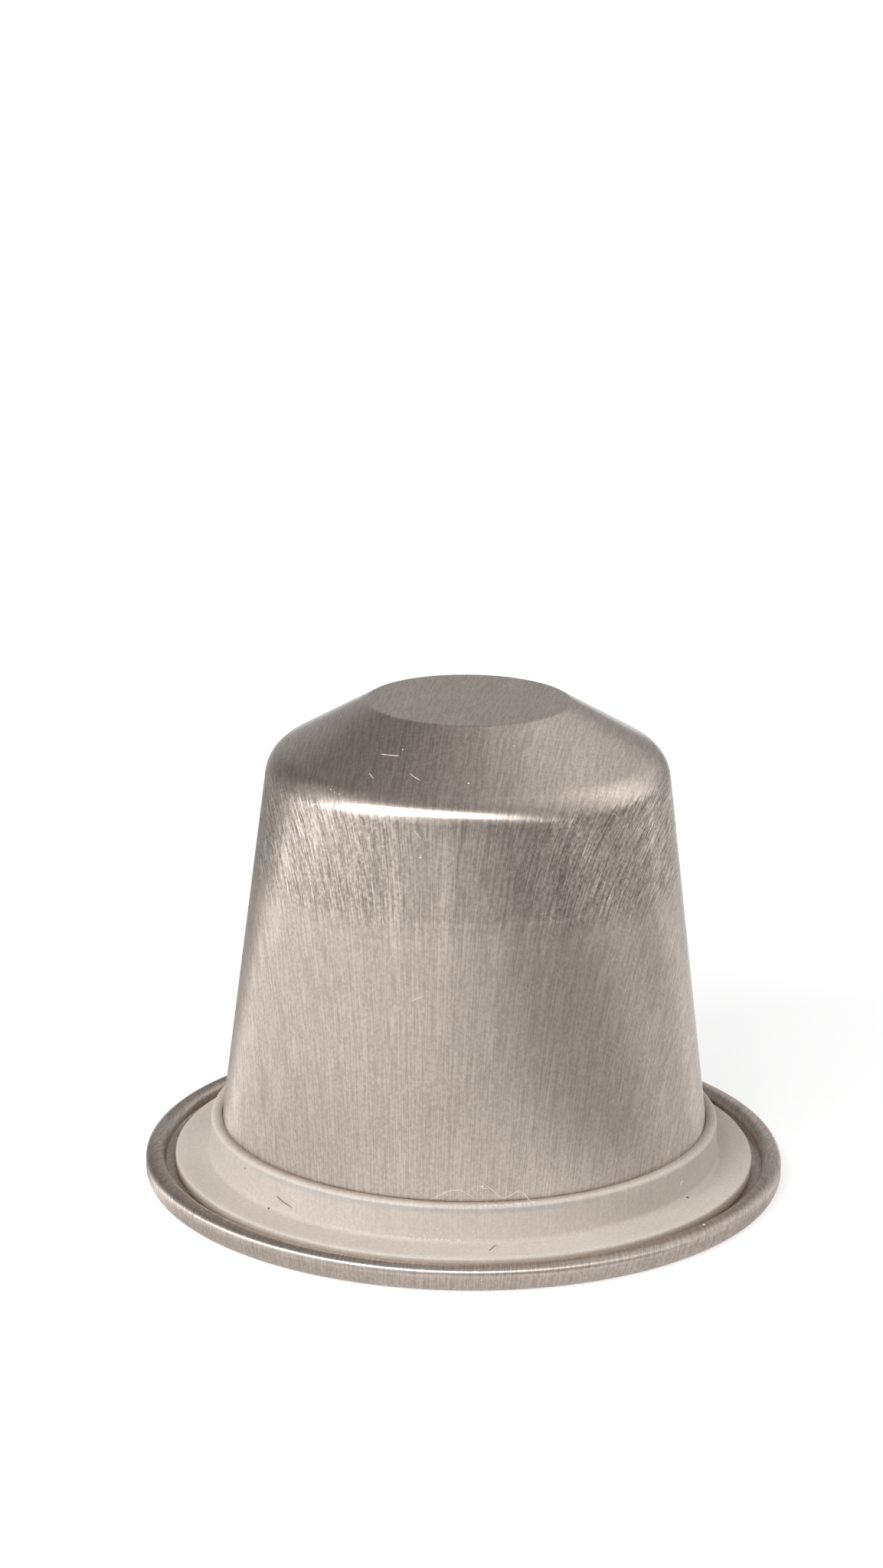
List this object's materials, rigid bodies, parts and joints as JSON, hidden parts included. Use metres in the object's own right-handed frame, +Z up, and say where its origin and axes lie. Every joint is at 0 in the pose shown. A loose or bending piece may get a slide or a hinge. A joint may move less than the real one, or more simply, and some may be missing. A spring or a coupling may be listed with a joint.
{
  "type": "espresso machine cleaning capsule",
  "caption": "Sealed brushed-aluminium cup with a truncated-cone top, a curled rim, a translucent sealing ring on its flange and a foil lid, standing lid down.",
  "frame": {"origin": "on the capsule's axis, in the plane that the foot of the rim stands on", "axes": "+Z up along the capsule's axis, from the lid to the flat top; the picture looks along +Y, with +X to its right"},
  "size_m": [0.037, 0.037, 0.0283],
  "materials": {
    "brushed_aluminium": "rolled sheet drawn into a cup, with fine lines that run one way across the blank, lacquered, satin",
    "silicone_seal": "translucent, frosted, slightly dusty",
    "lid_foil": "rolled foil, bright satin"
  },
  "bodies": {
    "root": {"capsule_body": "brushed_aluminium", "sealing_ring": "silicone_seal", "foil_lid": "lid_foil"}
  },
  "joints": []
}
